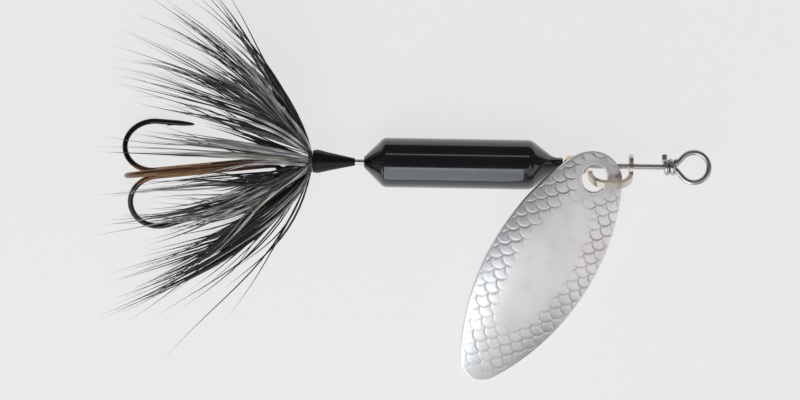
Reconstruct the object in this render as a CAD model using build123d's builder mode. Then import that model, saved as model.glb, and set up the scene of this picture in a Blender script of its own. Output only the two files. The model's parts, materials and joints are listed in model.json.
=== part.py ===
from build123d import *
from math import acos, asin, atan2, cos, degrees, hypot, radians, sin, sqrt
import os

# Inline spinner lying on its side. The origin is the centre of the line-tie eye,
# +X points out of the eye along the shaft, +Z is up from the surface it lies on.

# shaft wire
wire_d = 0.5
eye_d = 3.2                 # outside of the line-tie eye
eye_leg = 0.25              # from the eye's ring to where its two legs meet the wrap
wrap_gap = 0.03             # between the turns of a wrap, and under them
front_turns = 2.0
rear_turns = 2.0
tag_length = 0.6            # cut end that stands out of the front wrap
loop_d = 2.2                # outside of the rear loop
loop_leg = 0.35             # from the loop's ring to where its two legs meet the wrap
run_fit = 0.05              # radial clearance of whatever turns on the wire

# spaces along the wire, from the eye backwards
slide_room = 2.59           # bare wire between the front wrap and the clevis
stack_gap = 0.1             # end play between clevis, bead and weight
tail_gap = 0.8              # bare wire between weight and thread head

# weight
body_d = 4.5
body_length = 17.9
tail_d = 0.95
tail_cone = 1.75
nose_d = 1.4
nose_length = 0.85
nose_taper = 2.0
shoulder_r = 0.5

# bead
bead_d = 1.8
bead_length = 2.05
bead_round = 0.55

# clevis
clevis_width = 4.05
clevis_depth = 2.5          # from the wire's axis to the outside of the bow
clevis_strip = 0.7
clevis_wall = 0.36
clevis_corner = 1.45
ear_d = 2.2
clevis_roll = 45.0          # turn of the bow from straight up, towards -Y

# blade
blade_length = 23.6
blade_width = 10.0
blade_belly = 11.4          # from the hole end to the widest place
blade_top_r = 3.0           # end arc beside the hole
blade_tip_r = 2.1           # end arc at the tip
blade_wall = 0.42
blade_hole_d = 2.4
blade_hole_in = 2.35        # hole centre from the end of the blade
blade_rise_length = 1.0     # dome along the length
blade_rise_width = 0.8      # dome across the width
blade_flare = 61.7          # angle to the shaft, seen from above
blade_hang = 0.7656         # the hole centre's place between the wire (0) and the inside of the bow (1)
blade_beside_bow = 0.1414   # hole centre beside the middle of the bow
blade_hole_ahead = 0.193    # hole centre ahead of where the clevis's strip passes through the hole
blade_over_weight = 0.26    # clearance of the blade's plane over the weight's shoulder
blade_tip_lift = 0.895      # height of the blade's plane at its tip, above the floor

# thread head and hackle
head_length = 3.8
head_over_loop = 0.45       # how far the rear loop's neck stands behind the thread head
head_front_wall = 0.07      # thread over the shaft at the front end
head_waist_wall = 0.02      # how much further out than the wrap the waist is
head_waist_ahead = 0.62     # the waist's place ahead of the wrap
head_rear_wall = 0.3        # thread over the wrap at the rear end
head_round = 0.15
thread_fit = 0.02
quill_length = 0.4
quill_wall = 0.2
quill_round = 0.1
tuft_seat = 0.01            # axis of each bunch's root above the wrap
tuft_root_d = 0.2
tuft_belly_d = 0.8
tuft_tip_d = 0.2
fibre_length = 21.0
tuft_curl = 14.0            # how much steeper than its spread a bunch leaves the quill
tuft_knee = 0.45            # share of the length at which a bunch bends
tuft_arc = 330.0            # part of the turn round the quill that has roots
tuft_steps = 4
# each bunch's heading round the wire, from straight up towards +Y, and its spread from the wire's line
tuft_headings = (92, 82, 70, 58, 42, 28, 8, -14, -30, -48, -62, -76, -86, -93)
tuft_spreads = (52, 36, 55, 27, 45, 60, 40, 52, 30, 47, 24, 57, 36, 48)

# treble hook
hook_wire_d = 0.5
hook_gape = 5.5             # shank axis to the middle of a point
hook_back = 14.2            # rear loop to the middle of the wire at the back of a bend
hook_offset = 0.31          # each wire of the shank from the shank's axis
hook_eye_d = 2.0            # outside of the hook's eye
hook_play = 0.1             # between the hook's eye and the rear loop
hook_lean = 12.0            # how far each point leans in towards the shank
hook_arm = 1.9
hook_point = 1.5
hook_point_tip_d = 0.06
hook_yaw = 6.5              # where the hook lies, seen from above
hook_third = 120.0          # angle between two of the three hooks
barb_height = 0.3
barb_length = 0.8
braze_length = 5.0
braze_d = 0.9

wire_r = wire_d / 2
body_r = body_d / 2
hook_r = hook_wire_d / 2
bore_r = wire_r + run_fit
thread_bore_r = wire_r + thread_fit
turn_pitch = wire_d + wrap_gap
wrap_r = turn_pitch + wire_r + thread_fit

# places along the wire, from the eye backwards
eye_r = (eye_d - wire_d) / 2
loop_r = (loop_d - wire_d) / 2
neck_x = -eye_r - eye_leg
clevis_front_x = neck_x - front_turns * turn_pitch - wire_r - slide_room
clevis_rear_x = clevis_front_x - clevis_width
bead_front_x = clevis_rear_x - stack_gap
body_front_x = bead_front_x - bead_length - stack_gap
body_rear_x = body_front_x - body_length
taper_x = body_front_x - nose_length
shoulder_x = taper_x - nose_taper
head_front_x = body_rear_x - tail_gap
head_rear_x = head_front_x - head_length
loop_neck_x = head_rear_x - head_over_loop
loop_x = loop_neck_x - loop_leg - loop_r
loop_rear_x = loop_x - loop_r
wrap_front_x = loop_neck_x + rear_turns * turn_pitch + wire_r + thread_fit
waist_x = wrap_front_x + head_waist_ahead


def ring_legs(ring_r, neck):
    """Angle of the tangent point of a leg that starts neck from the ring's centre, one wire radius off."""
    reach = hypot(neck, wire_r)
    return atan2(wire_r, neck) + acos(ring_r / reach)


def on_plane(origin, x_dir, z_dir):
    """A plane through a point, with its x direction squared up to its z direction."""
    z = Vector(*z_dir).normalized()
    x = Vector(*x_dir) - z * z.dot(Vector(*x_dir))
    return Plane(origin=origin, x_dir=x, z_dir=z)


def round_wire(path, frenet=False):
    """Round wire swept along a path."""
    with BuildPart() as piece:
        with BuildSketch(Plane(origin=path.line @ 0, z_dir=path.line % 0)):
            Circle(wire_r)
        sweep(path=path.line, is_frenet=frenet)
    return piece.part


def wire_ring(plane, ring_r, neck):
    """An open ring about the plane's origin, whose two legs meet at a neck on its -x side."""
    turn = ring_legs(ring_r, neck)
    touch_x = -ring_r * cos(turn)
    touch_y = ring_r * sin(turn)
    with BuildLine(plane) as path:
        Line((-neck, -wire_r), (touch_x, -touch_y))
        ThreePointArc((touch_x, -touch_y), (ring_r, 0), (touch_x, touch_y))
        Line((touch_x, touch_y), (-neck, wire_r))
    return round_wire(path)


def wire_wrap(start_x, heading, turns, quarter):
    """The path of close turns of wire round the shaft, turned by quarters about it."""
    start = (start_x, 0, 0)
    coil = Helix(turn_pitch, turn_pitch * turns, turn_pitch, center=start, direction=(heading, 0, 0))
    with BuildLine() as path:
        add(coil.rotate(Axis.X, 90 * quarter))
    return path


# Shaft wire: eye, front wrap with its cut end, straight shaft, rear wrap and rear loop.
eye = wire_ring(Plane.XY, eye_r, -neck_x)
loop_plane = Plane(origin=(loop_x, 0, 0), x_dir=(-1, 0, 0), z_dir=(0, 1, 0))
loop = wire_ring(loop_plane, loop_r, loop_neck_x - loop_x)
front_coil = wire_wrap(neck_x, -1, front_turns, 1)
rear_coil = wire_wrap(loop_neck_x, 1, rear_turns, 0)
tag_foot = front_coil.line @ 1
with BuildPart() as shaft_wire:
    with BuildSketch(Plane(origin=(neck_x + wire_r, 0, 0), z_dir=(-1, 0, 0))):
        Circle(wire_r)
    extrude(amount=neck_x - loop_neck_x + wire_d)
    with BuildSketch(Plane(origin=tag_foot, z_dir=Vector(0, tag_foot.Y, tag_foot.Z))):
        Circle(wire_r)
    extrude(amount=tag_length)
    add(eye)
    add(loop)
    add(round_wire(front_coil, frenet=True))
    add(round_wire(rear_coil, frenet=True))
shaft_wire.part.label = "shaft_wire"

# Thread head: a wound cone over the rear wrap, hollow where the wrap is.
head_front_r = thread_bore_r + head_front_wall
head_waist_r = wrap_r + head_waist_wall
head_rear_r = wrap_r + head_rear_wall
with BuildPart() as thread_head:
    with BuildSketch(Plane.XY) as head_profile:
        with BuildLine():
            Polyline(
                (head_front_x, thread_bore_r),
                (head_front_x, head_front_r),
                (waist_x, head_waist_r),
            )
            TangentArc(
                (waist_x, head_waist_r),
                (head_rear_x, head_rear_r),
                tangent=(waist_x - head_front_x, head_waist_r - head_front_r),
            )
            Polyline(
                (head_rear_x, head_rear_r),
                (head_rear_x, wrap_r),
                (wrap_front_x, wrap_r),
                (wrap_front_x, thread_bore_r),
                (head_front_x, thread_bore_r),
            )
        make_face()
        fillet(head_profile.vertices().sort_by(Axis.Y)[-1], head_round)
    revolve(axis=Axis.X)
thread_head.part.label = "thread_head"

# Quill: the feather's stem, wound round the wrap against the thread head.
with BuildPart() as hackle_quill:
    with BuildSketch(Plane(origin=(head_rear_x, 0, 0), z_dir=(-1, 0, 0))):
        Circle(wrap_r + quill_wall)
        Circle(wrap_r, mode=Mode.SUBTRACT)
    extrude(amount=quill_length)
    outer_edges = hackle_quill.edges().filter_by(GeomType.CIRCLE).group_by(SortBy.RADIUS)[-1]
    fillet(outer_edges.sort_by(Axis.X)[0], quill_round)
hackle_quill.part.label = "hackle_quill"

# Weight: tail cone, barrel and a nose that hollows to a short neck, bored for the wire.
with BuildPart() as weight_body:
    with BuildSketch(Plane.XY) as weight_profile:
        with BuildLine():
            Polyline(
                (body_rear_x, bore_r),
                (body_rear_x, tail_d / 2),
                (body_rear_x + tail_cone, body_r),
                (shoulder_x, body_r),
                (taper_x, nose_d / 2),
                (body_front_x, nose_d / 2),
                (body_front_x, bore_r),
                (body_rear_x, bore_r),
            )
        make_face()
        corners = weight_profile.vertices().group_by(Axis.Y)
        fillet(corners[-1], shoulder_r)
        fillet(weight_profile.vertices().sort_by(Axis.X)[-3], shoulder_r)
    revolve(axis=Axis.X)
weight_body.part.label = "weight_body"

# Bead: a barrel with ball ends, bored for the wire.
with BuildPart() as bearing_bead:
    with BuildSketch(Plane.XY) as bead_profile:
        with Locations((bead_front_x - bead_length / 2, (bore_r + bead_d / 2) / 2)):
            Rectangle(bead_length, bead_d / 2 - bore_r)
        fillet(bead_profile.vertices().group_by(Axis.Y)[-1], bead_round)
    revolve(axis=Axis.X)
bearing_bead.part.label = "bearing_bead"

# Clevis: a folded strip with an ear at each end, turned about the wire to where its bow lies.
bow = Vector(0, -sin(radians(clevis_roll)), cos(radians(clevis_roll)))
clevis_plane = on_plane((clevis_rear_x, 0, 0), (1, 0, 0), Vector(1, 0, 0).cross(bow))
with BuildPart() as clevis:
    near = clevis_wall / 2
    far = clevis_width - clevis_wall / 2
    top = clevis_depth - clevis_wall / 2
    with BuildLine(clevis_plane) as fold:
        FilletPolyline((near, 0), (near, top), (far, top), (far, 0), radius=clevis_corner - clevis_wall / 2)
    with BuildSketch(Plane(origin=fold.line @ 0, x_dir=(1, 0, 0), z_dir=fold.line % 0)):
        Rectangle(clevis_wall, clevis_strip)
    sweep(path=fold.line)
    for ear_x in (clevis_rear_x, clevis_front_x - clevis_wall):
        with BuildSketch(Plane(origin=(ear_x, 0, 0), z_dir=(1, 0, 0))):
            Circle(ear_d / 2)
        extrude(amount=clevis_wall)
    with BuildSketch(Plane(origin=(clevis_rear_x, 0, 0), z_dir=(1, 0, 0))):
        Circle(bore_r)
    extrude(amount=clevis_width, mode=Mode.SUBTRACT)
clevis.part.label = "clevis"

# Blade: a slice of a ring-shaped shell, curved more across than along, cut to its outline.
# It hangs on the clevis, leans over the weight's shoulder and comes down near the floor at its tip.
# Its own frame has the hole's centre as origin, x towards the tip and z away from the wire.
bow_side = Vector(0, cos(radians(clevis_roll)), sin(radians(clevis_roll)))
hole_height = wire_r + blade_hang * (clevis_depth - clevis_wall - wire_r)
above_corner = max(0, hole_height - clevis_depth + clevis_corner)
strip_x = clevis_rear_x + clevis_corner - sqrt((clevis_corner - clevis_wall / 2) ** 2 - above_corner**2)
hole_centre = Vector(strip_x + blade_hole_ahead, 0, 0) + bow * hole_height + bow_side * blade_beside_bow
flare = radians(180 + blade_flare)
tip_reach = blade_length - blade_hole_in
slope_x = (body_r + blade_over_weight - hole_centre.Z) / (hole_centre.X - shoulder_x)
tip_drop = hole_centre.Z - slope_x * tip_reach * cos(flare) + body_r - blade_tip_lift
slope_y = -tip_drop / (tip_reach * sin(flare))
blade_normal = Vector(slope_x, -slope_y, 1).normalized()
blade_plane = on_plane(hole_centre, (cos(flare), sin(flare), 0), blade_normal)
half_length = blade_length / 2
half_width = blade_width / 2
length_r = (half_length**2 + blade_rise_length**2) / (2 * blade_rise_length)
width_r = (half_width**2 + blade_rise_width**2) / (2 * blade_rise_width)
middle = half_length - blade_hole_in
crown = middle**2 / (2 * length_r) + blade_wall / 2
belly_x = blade_belly - blade_hole_in
top_x = -blade_hole_in
tip_x = top_x + blade_length


def side_arc(reach, end_r, heading):
    """Half of one side, from the belly to the end arc: its middle and its meeting with the end arc."""
    side_r = (half_width**2 + reach**2 - 2 * end_r * reach) / (2 * (half_width - end_r))
    turn = atan2(side_r - half_width, reach - end_r)
    middle_turn = (turn + radians(90)) / 2
    points = []
    for angle in (middle_turn, turn):
        points.append((belly_x + heading * side_r * cos(angle), half_width - side_r + side_r * sin(angle)))
    return points


def mirrored(point):
    """The same point on the other side of the blade."""
    return (point[0], -point[1])


top_middle, top_meet = side_arc(blade_belly, blade_top_r, -1)
tip_middle, tip_meet = side_arc(blade_length - blade_belly, blade_tip_r, 1)
with BuildPart() as blade:
    ring_centre = blade_plane.from_local_coords((middle, 0, crown - length_r))
    with BuildSketch(Plane(origin=ring_centre, x_dir=blade_plane.y_dir, z_dir=-blade_plane.x_dir)):
        with Locations((0, length_r - width_r)):
            Circle(width_r)
            Circle(width_r - blade_wall, mode=Mode.SUBTRACT)
        with Locations((0, length_r)):
            Rectangle(2 * blade_width, 4 * blade_rise_width, mode=Mode.INTERSECT)
    revolve(axis=Axis(ring_centre, blade_plane.y_dir))
    with BuildSketch(blade_plane.offset(-blade_rise_length - blade_rise_width)):
        with BuildLine():
            ThreePointArc(mirrored(top_meet), (top_x, 0), top_meet)
            ThreePointArc(top_meet, top_middle, (belly_x, half_width))
            ThreePointArc((belly_x, half_width), tip_middle, tip_meet)
            ThreePointArc(tip_meet, (tip_x, 0), mirrored(tip_meet))
            ThreePointArc(mirrored(tip_meet), mirrored(tip_middle), (belly_x, -half_width))
            ThreePointArc((belly_x, -half_width), mirrored(top_middle), mirrored(top_meet))
        make_face()
        Circle(blade_hole_d / 2, mode=Mode.SUBTRACT)
    extrude(amount=2 * (blade_rise_length + blade_rise_width), mode=Mode.INTERSECT)
blade.part.label = "blade"

# Treble hook. Its own frame starts at the back of the rear loop, x runs down the shank to the
# bends and z points up along the third hook; it is pitched so that the lower two bends lie flat.
bend_x = hook_back - (hook_gape - hook_offset) / 2
low_reach = -hook_gape * cos(radians(hook_third)) + hook_r
hook_pitch = asin((low_reach - body_r) / bend_x)
yaw = radians(hook_yaw)
hook_dir = Vector(-cos(yaw) * cos(hook_pitch), -sin(yaw) * cos(hook_pitch), sin(hook_pitch))
hook_up = Vector(0, 0, 1) - hook_dir * sin(hook_pitch)
hook_frame = Plane(origin=(loop_rear_x, 0, 0), x_dir=hook_dir, z_dir=hook_up)
bend_r = (hook_gape - hook_offset) / 2
hook_eye_r = (hook_eye_d - hook_wire_d) / 2
hook_eye_x = hook_eye_r - wire_r - hook_r - hook_play
shank_start = hook_eye_x + hook_eye_r - hook_r / 2


def hook_bend(roll, start_x):
    """One hook of the treble: shank, round bend, leaning arm, barb and sharpened point."""
    turn = radians(roll)
    outward = hook_frame.z_dir * cos(turn) + hook_frame.y_dir * sin(turn)
    side = Plane(
        origin=hook_frame.origin, x_dir=hook_frame.x_dir, z_dir=hook_frame.x_dir.cross(outward)
    )
    lean = radians(hook_lean)
    arm_x = bend_x - bend_r * sin(lean)
    arm_y = hook_offset + bend_r + bend_r * cos(lean)
    end_x = arm_x - hook_arm * cos(lean)
    end_y = arm_y - hook_arm * sin(lean)
    heading = side.x_dir * -cos(lean) - side.y_dir * sin(lean)
    with BuildPart() as piece:
        with BuildLine(side) as path:
            Line((start_x, hook_offset), (bend_x, hook_offset))
            CenterArc((bend_x, hook_offset + bend_r), bend_r, -90, 180 + hook_lean)
            Line((arm_x, arm_y), (end_x, end_y))
        with BuildSketch(Plane(origin=path.line @ 0, z_dir=path.line % 0)):
            Circle(hook_r)
        sweep(path=path.line)
        with BuildSketch(Plane(origin=path.line @ 1, z_dir=heading)):
            Circle(hook_r)
        taper = degrees(atan2(hook_r - hook_point_tip_d / 2, hook_point))
        extrude(amount=hook_point, taper=taper)
        root = end_y - hook_r / 2
        with BuildSketch(side.offset(-hook_r / 2)):
            with BuildLine():
                Polyline(
                    (end_x - barb_length, root),
                    (end_x + barb_length / 2, root - barb_height - hook_r / 2),
                    (end_x, root),
                    close=True,
                )
            make_face()
        extrude(amount=hook_r)
    return piece.part


with BuildPart() as hook_double:
    eye_x_dir = hook_frame.x_dir
    eye_centre = hook_frame.origin + eye_x_dir * hook_eye_x
    with BuildSketch(Plane(origin=eye_centre, x_dir=eye_x_dir, z_dir=-hook_frame.y_dir)):
        with Locations((hook_eye_r, 0)):
            Circle(hook_r)
    revolve(axis=Axis(eye_centre, hook_frame.z_dir))
    add(hook_bend(hook_third, shank_start))
    add(hook_bend(-hook_third, shank_start))
hook_double.part.label = "hook_double"

with BuildPart() as hook_single:
    add(hook_bend(0, shank_start + hook_wire_d))
hook_single.part.label = "hook_single"

# Braze: the metal that fills between the three shanks.
with BuildPart() as hook_braze:
    braze_start = hook_frame.origin + hook_dir * (bend_x - braze_length)
    with BuildSketch(Plane(origin=braze_start, z_dir=hook_dir)):
        Circle(braze_d / 2)
    extrude(amount=braze_length)
    add(hook_double.part, mode=Mode.SUBTRACT)
    add(hook_single.part, mode=Mode.SUBTRACT)
hook_braze.part.label = "hook_braze"

# Hackle: bunches of feather fibre that stand round the quill and sweep back past the hook.
tuft_ring_r = wrap_r + tuft_seat
tuft_root_x = head_rear_x - quill_length - tuft_root_d / 2
hackle_tufts = []
for index, (heading, spread) in enumerate(zip(tuft_headings, tuft_spreads)):
    around = radians(tuft_arc * (0.5 - (index + 0.5) / len(tuft_headings)))
    root = Vector(tuft_root_x, tuft_ring_r * sin(around), tuft_ring_r * cos(around))
    turn = radians(heading)
    outward = Vector(0, sin(turn), cos(turn))
    lean_out = radians(spread)
    first_lean = radians(spread + tuft_curl)
    tip = root + (Vector(-cos(lean_out), 0, 0) + outward * sin(lean_out)) * fibre_length
    knee = root + (Vector(-cos(first_lean), 0, 0) + outward * sin(first_lean)) * (fibre_length * tuft_knee)
    with BuildPart() as tuft:
        for step in range(tuft_steps + 1):
            t = step / tuft_steps
            centre = root * (1 - t) ** 2 + knee * (2 * t * (1 - t)) + tip * t**2
            along = (knee - root) * (1 - t) + (tip - knee) * t
            swell = 4 * t * (1 - t)
            thick = tuft_root_d * (1 - t) + tuft_tip_d * t + (tuft_belly_d - tuft_root_d) * swell
            with BuildSketch(on_plane(centre, along.cross(Vector(1, 0, 0)), along)):
                Circle(thick / 2)
        loft()
    tuft.part.label = f"hackle_tuft_{index + 1}"
    hackle_tufts.append(tuft)

os.makedirs("parts", exist_ok=True)
pieces = [
    shaft_wire,
    thread_head,
    hackle_quill,
    weight_body,
    bearing_bead,
    clevis,
    blade,
    hook_double,
    hook_single,
    hook_braze,
]
for piece in pieces + hackle_tufts:
    solid = piece.part if piece.part.is_valid else piece.part.fix()
    export_step(solid, f"parts/{piece.part.label}.step")
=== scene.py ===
import json
import bpy
import bmesh
import numpy as np
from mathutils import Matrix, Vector


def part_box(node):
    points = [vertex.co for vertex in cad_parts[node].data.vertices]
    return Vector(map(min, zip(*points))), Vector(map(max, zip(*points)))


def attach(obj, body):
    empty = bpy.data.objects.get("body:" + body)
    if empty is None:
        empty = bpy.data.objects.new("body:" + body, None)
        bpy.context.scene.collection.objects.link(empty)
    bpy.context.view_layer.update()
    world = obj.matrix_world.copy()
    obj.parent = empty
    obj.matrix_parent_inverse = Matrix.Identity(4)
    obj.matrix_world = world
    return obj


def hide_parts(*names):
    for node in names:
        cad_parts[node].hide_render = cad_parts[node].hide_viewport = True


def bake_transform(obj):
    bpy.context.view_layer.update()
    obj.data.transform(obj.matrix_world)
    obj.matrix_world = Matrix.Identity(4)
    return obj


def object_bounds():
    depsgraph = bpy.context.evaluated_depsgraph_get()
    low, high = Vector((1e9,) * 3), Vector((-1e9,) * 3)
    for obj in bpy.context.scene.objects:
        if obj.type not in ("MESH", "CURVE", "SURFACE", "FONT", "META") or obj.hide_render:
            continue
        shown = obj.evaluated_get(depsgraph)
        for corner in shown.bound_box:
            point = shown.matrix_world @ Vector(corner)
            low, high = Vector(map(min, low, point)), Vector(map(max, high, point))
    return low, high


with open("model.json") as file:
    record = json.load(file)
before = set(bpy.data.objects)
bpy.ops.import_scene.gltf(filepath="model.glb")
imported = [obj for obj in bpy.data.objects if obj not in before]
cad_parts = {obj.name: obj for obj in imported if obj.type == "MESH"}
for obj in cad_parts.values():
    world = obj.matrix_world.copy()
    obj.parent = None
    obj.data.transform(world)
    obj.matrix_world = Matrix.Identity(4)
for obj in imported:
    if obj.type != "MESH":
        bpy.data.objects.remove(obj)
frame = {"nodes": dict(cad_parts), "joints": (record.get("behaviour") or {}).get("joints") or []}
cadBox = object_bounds()
mm = 0.001
rng = np.random.default_rng(11)
joints = {joint["name"]: joint for joint in frame["joints"]}
floorHeight = cadBox[0][2]
print("frame loaded")


def span(node):
    # lowest and highest corner of a CAD node, in millimetres
    low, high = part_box(node)
    return np.array(low) / mm, np.array(high) / mm


def unit(rows):
    # each row divided by its own length
    return rows / np.linalg.norm(rows, axis=-1, keepdims=True)


def gridQuads(rows, columns, closeRows=False, closeColumns=False):
    # corner numbers of every cell of a rows x columns grid, wrapped where it closes
    i = np.arange(rows if closeRows else rows - 1)[:, None]
    j = np.arange(columns if closeColumns else columns - 1)[None, :]
    down, right = (i + 1) % rows, (j + 1) % columns
    corners = (i * columns + j, down * columns + j, down * columns + right, i * columns + right)
    return np.stack([c.ravel() for c in np.broadcast_arrays(*corners)], axis=1)


def makePiece(name, points, quads, values=None, weld=True):
    # a mesh object from points in millimetres and four-cornered faces
    points = np.asarray(points, dtype=float).reshape(-1, 3) * mm
    mesh = bpy.data.meshes.new(name)
    mesh.vertices.add(len(points))
    mesh.vertices.foreach_set("co", points.ravel())
    mesh.loops.add(quads.size)
    mesh.loops.foreach_set("vertex_index", quads.ravel().astype(np.int32))
    mesh.polygons.add(len(quads))
    mesh.polygons.foreach_set("loop_start", np.arange(len(quads), dtype=np.int32) * 4)
    for label, numbers in (values or {}).items():
        mesh.attributes.new(label, "FLOAT", "POINT")
        mesh.attributes[label].data.foreach_set("value", np.asarray(numbers, dtype=float).ravel())
    mesh.update(calc_edges=True)
    if weld:
        work = bmesh.new()
        work.from_mesh(mesh)
        bmesh.ops.remove_doubles(work, verts=work.verts, dist=2e-7)
        bmesh.ops.dissolve_degenerate(work, edges=work.edges, dist=1e-8)
        bmesh.ops.recalc_face_normals(work, faces=work.faces)
        work.to_mesh(mesh)
        work.free()
    mesh.polygons.foreach_set("use_smooth", np.ones(len(mesh.polygons), dtype=bool))
    mesh.update()
    piece = bpy.data.objects.new(name, mesh)
    bpy.context.collection.objects.link(piece)
    return piece


def joinParts(parts):
    # several (points, quads) pairs as one
    points, quads, offset = [], [], 0
    for partPoints, partQuads in parts:
        partPoints = np.asarray(partPoints).reshape(-1, 3)
        points.append(partPoints)
        quads.append(partQuads + offset)
        offset += len(partPoints)
    return np.concatenate(points), np.concatenate(quads)


def tube(path, radius, sides, reference=(1, 1, 1)):
    # point = path + radius * (cos a * side + sin a * up), with side square to path and reference
    radius = np.broadcast_to(radius, len(path))
    along = unit(np.gradient(path, axis=0))
    side = unit(np.cross(along, np.asarray(reference, dtype=float)))
    up = np.cross(side, along)
    angle = np.linspace(0, 2 * np.pi, sides, endpoint=False)[None, :, None]
    ring = np.cos(angle) * side[:, None] + np.sin(angle) * up[:, None]
    points = path[:, None] + radius[:, None, None] * ring
    ends = [np.repeat(path[k][None, None], sides, axis=1) for k in (0, -1)]
    points = np.concatenate([ends[0], points, ends[1]])
    return points, gridQuads(len(points), sides, closeColumns=True)


def turned(profile, count, ripple=None):
    # a closed outline of (x, r) carried round the X axis: y = r sin a, z = r cos a
    angle = np.linspace(0, 2 * np.pi, count, endpoint=False)[:, None]
    x = np.broadcast_to(profile[:, 0], (count, len(profile)))
    r = np.broadcast_to(profile[:, 1], (count, len(profile)))
    if ripple is not None:
        r = r + ripple(x, angle)
    points = np.stack([x, r * np.sin(angle), r * np.cos(angle)], axis=2)
    return points, gridQuads(count, len(profile), closeRows=True, closeColumns=True)


def rounded(corners, radii, steps=7):
    # an outline whose corners are arcs of the given radii
    corners = np.asarray(corners, dtype=float)
    outline = []
    for k, radius in enumerate(radii):
        here = corners[k]
        back = unit(corners[k - 1] - here)
        ahead = unit(corners[(k + 1) % len(corners)] - here)
        half = np.arccos(np.clip(back @ ahead, -1, 1)) / 2
        centre = here + unit(back + ahead) * radius / np.sin(half)
        start = here + back * radius / np.tan(half) - centre
        finish = here + ahead * radius / np.tan(half) - centre
        t = np.linspace(0, 1, steps)[:, None]
        turn = np.arccos(np.clip(start @ finish / radius**2, -1, 1))
        outline.append(centre + (np.sin((1 - t) * turn) * start + np.sin(t * turn) * finish) / np.sin(turn))
    return np.concatenate(outline)


def divided(outline, longest):
    # the closed outline with extra points so that no step is longer than given
    pieces = []
    for k in range(len(outline)):
        a, b = outline[k], outline[(k + 1) % len(outline)]
        steps = max(1, int(np.ceil(np.linalg.norm(b - a) / longest)))
        pieces.append(a + (b - a) * (np.arange(steps) / steps)[:, None])
    return np.concatenate(pieces)


def evenPath(points, step):
    # the same line with points a step apart, its kinks eased by averaging
    points = np.asarray(points, dtype=float)
    run = np.concatenate([[0], np.cumsum(np.linalg.norm(np.diff(points, axis=0), axis=1))])
    places = np.linspace(0, run[-1], max(3, int(run[-1] / step)))
    line = np.stack([np.interp(places, run, points[:, k]) for k in range(3)], axis=1)
    kernel = np.array([1, 2, 3, 2, 1]) / 9
    padded = np.pad(line, ((2, 2), (0, 0)), mode="edge")
    soft = np.stack([np.convolve(padded[:, k], kernel, "valid") for k in range(3)], axis=1)
    soft[0], soft[-1] = line[0], line[-1]
    return soft


def makeGroup(name, inputs, outputs):
    # a shader node group with named sockets, its input and output nodes
    group = bpy.data.node_groups.new(name, "ShaderNodeTree")
    for label, kind, value in inputs:
        socket = group.interface.new_socket(label, in_out="INPUT", socket_type=kind)
        if value is not None:
            socket.default_value = value
    for label, kind in outputs:
        group.interface.new_socket(label, in_out="OUTPUT", socket_type=kind)
    return group, group.nodes.new("NodeGroupInput"), group.nodes.new("NodeGroupOutput")


def mathNode(tree, kind, first, second=None, clamp=False):
    # one Math node; each argument is a socket or a number
    node = tree.nodes.new("ShaderNodeMath")
    node.operation = kind
    node.use_clamp = clamp
    for socket, value in zip(node.inputs, (first, second)):
        if isinstance(value, bpy.types.NodeSocket):
            tree.links.new(value, socket)
        elif value is not None:
            socket.default_value = value
    return node.outputs[0]


def mixColour(tree, factor, first, second):
    # colour between first and second
    node = tree.nodes.new("ShaderNodeMix")
    node.data_type = "RGBA"
    for socket, value in ((node.inputs["Factor"], factor), (node.inputs[6], first), (node.inputs[7], second)):
        if isinstance(value, bpy.types.NodeSocket):
            tree.links.new(value, socket)
        else:
            socket.default_value = value
    return node.outputs[2]


def noiseNode(tree, vector, scale, detail=3.0, roughness=0.55):
    # noise at a scale that is a socket or a number
    node = tree.nodes.new("ShaderNodeTexNoise")
    tree.links.new(vector, node.inputs["Vector"])
    if isinstance(scale, bpy.types.NodeSocket):
        tree.links.new(scale, node.inputs["Scale"])
    else:
        node.inputs["Scale"].default_value = scale
    node.inputs["Detail"].default_value = detail
    node.inputs["Roughness"].default_value = roughness
    return node.outputs["Fac"]


def buildFilmGroup():
    # patchy tarnish and handling film: a colour and a roughness from two noises
    group, given, out = makeGroup(
        "handlingFilm",
        [
            ("Vector", "NodeSocketVector", None),
            ("Clean", "NodeSocketColor", (0.8, 0.8, 0.8, 1)),
            ("Stained", "NodeSocketColor", (0.5, 0.4, 0.3, 1)),
            ("Patch Size", "NodeSocketFloat", 900.0),
            ("Stain Amount", "NodeSocketFloat", 0.4),
            ("Polish", "NodeSocketFloat", 0.2),
            ("Haze", "NodeSocketFloat", 0.15),
        ],
        [("Color", "NodeSocketColor"), ("Roughness", "NodeSocketFloat")],
    )
    coarse = noiseNode(group, given.outputs["Vector"], given.outputs["Patch Size"], 4.0)
    fineScale = mathNode(group, "MULTIPLY", given.outputs["Patch Size"], 6.3)
    fine = noiseNode(group, given.outputs["Vector"], fineScale, 2.0)
    spread = mathNode(group, "MULTIPLY", mathNode(group, "SUBTRACT", coarse, 0.42), 3.2, clamp=True)
    mask = mathNode(group, "MULTIPLY", spread, mathNode(group, "ADD", fine, 0.3), clamp=True)
    amount = mathNode(group, "MULTIPLY", mask, given.outputs["Stain Amount"], clamp=True)
    colour = mixColour(group, amount, given.outputs["Clean"], given.outputs["Stained"])
    smear = mathNode(group, "ADD", mask, mathNode(group, "MULTIPLY", fine, 0.4))
    haze = mathNode(group, "MULTIPLY", smear, given.outputs["Haze"])
    group.links.new(colour, out.inputs["Color"])
    group.links.new(mathNode(group, "ADD", given.outputs["Polish"], haze), out.inputs["Roughness"])
    return group


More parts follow.
